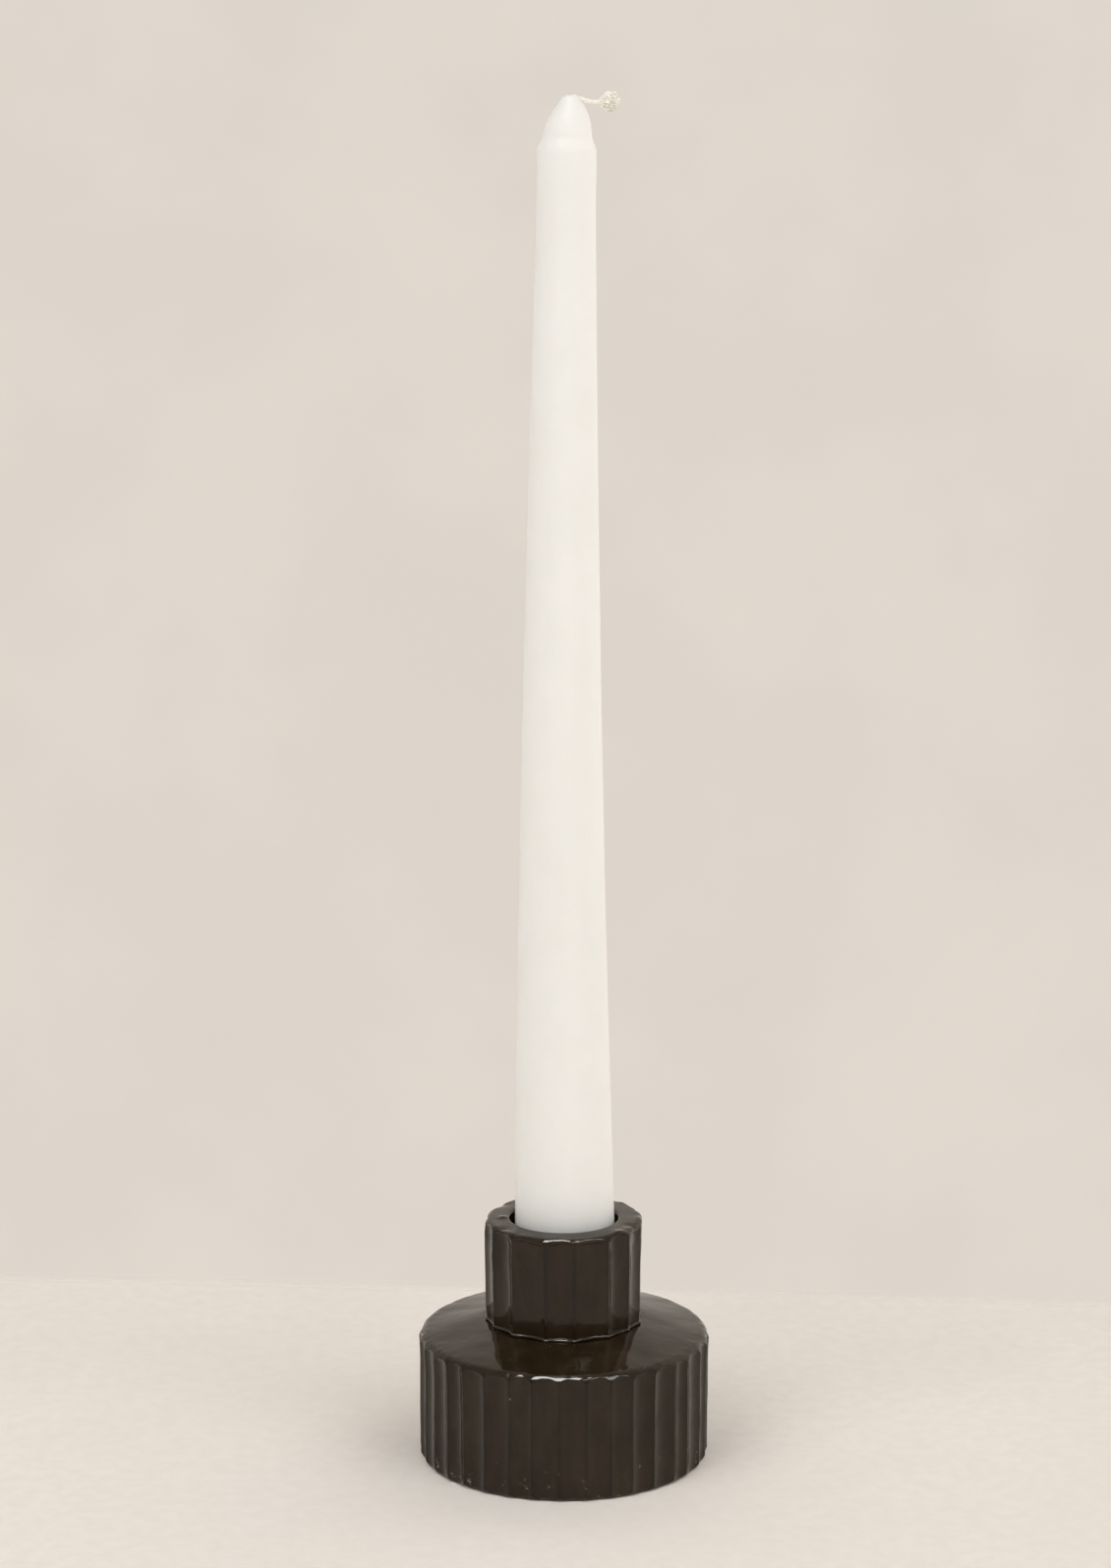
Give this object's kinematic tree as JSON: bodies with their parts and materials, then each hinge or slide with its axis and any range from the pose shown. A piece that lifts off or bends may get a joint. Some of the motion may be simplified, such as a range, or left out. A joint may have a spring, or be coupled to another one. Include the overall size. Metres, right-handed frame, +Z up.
{
  "type": "taper candle holder with candle",
  "caption": "Low dark glazed fluted two-tier candle holder with a tall ivory taper candle standing in its socket.",
  "frame": {"origin": "centre of the flat underside of the base, on the surface that it stands on", "axes": "+Z up along the candle; +X towards the side that the wick's bare end lies over; -Y is the front"},
  "size_m": [0.0668, 0.0668, 0.3103],
  "materials": {
    "dark_glaze": "gloss",
    "slip": "gloss",
    "wax": "satin",
    "cotton": "matte"
  },
  "bodies": {
    "holder": {"base": "dark_glaze", "collar": "dark_glaze", "slip_bead": "slip"},
    "candle": {"candle": "wax", "wick": "cotton"},
    "wick_end": {"wick_end": "cotton"}
  },
  "joints": [
    {"name": "candle_lift", "type": "slide", "parent": "holder", "child": "candle", "axis": [0, 0, 1], "range_m": [0, 0.06]},
    {"name": "wick_bend", "type": "hinge", "parent": "candle", "child": "wick_end", "pos_m": [0, 0, 0.30955], "axis": [0, -1, 0], "range_deg": [0, 85]}
  ]
}
